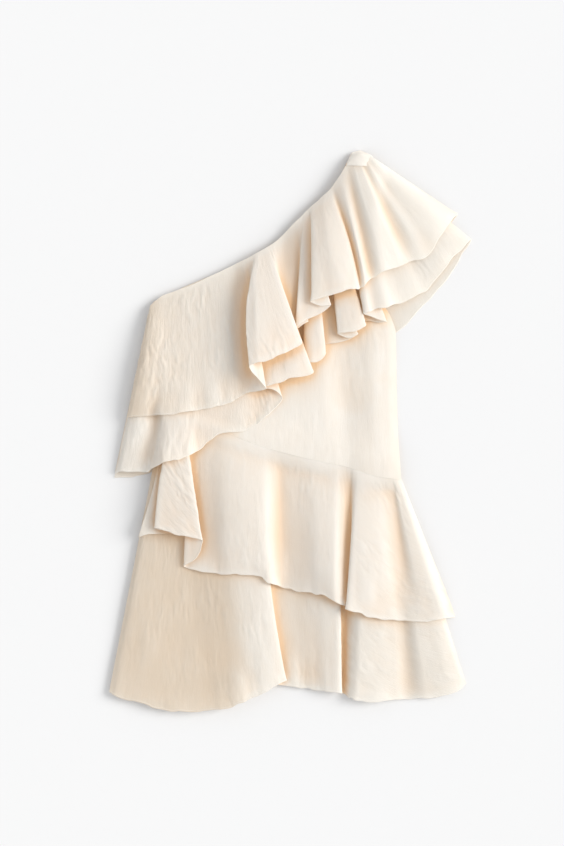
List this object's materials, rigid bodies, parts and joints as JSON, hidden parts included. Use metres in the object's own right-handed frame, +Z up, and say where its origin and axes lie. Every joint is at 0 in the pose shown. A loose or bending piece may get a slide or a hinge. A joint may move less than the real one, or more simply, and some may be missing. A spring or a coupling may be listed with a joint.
{
  "type": "one-shoulder dress",
  "caption": "Short one-shoulder dress of thin crinkled cream cloth, laid flat, with a layered neck flounce and a tiered skirt",
  "frame": {"origin": "centre of the laid-out dress on the surface it lies on", "axes": "+Z up out of the front of the dress, +Y from the hem towards the shoulder, +X towards the side with the shoulder flounce"},
  "size_m": [0.5814, 0.9013, 0.0525],
  "materials": {
    "body_cloth": "thin cream cloth with a fine crinkle",
    "flounce_cloth": "thin, slightly sheer cream cloth with a fine crinkle"
  },
  "bodies": {
    "root": {"bodice_front": "body_cloth", "bodice_back": "body_cloth", "shoulder_yoke": "body_cloth", "neck_over_front": "flounce_cloth", "neck_under_front": "flounce_cloth", "neck_over_back": "flounce_cloth", "neck_under_back": "flounce_cloth", "skirt_over_front": "flounce_cloth", "skirt_under_front": "flounce_cloth", "skirt_over_back": "flounce_cloth", "skirt_under_back": "flounce_cloth"}
  },
  "joints": []
}
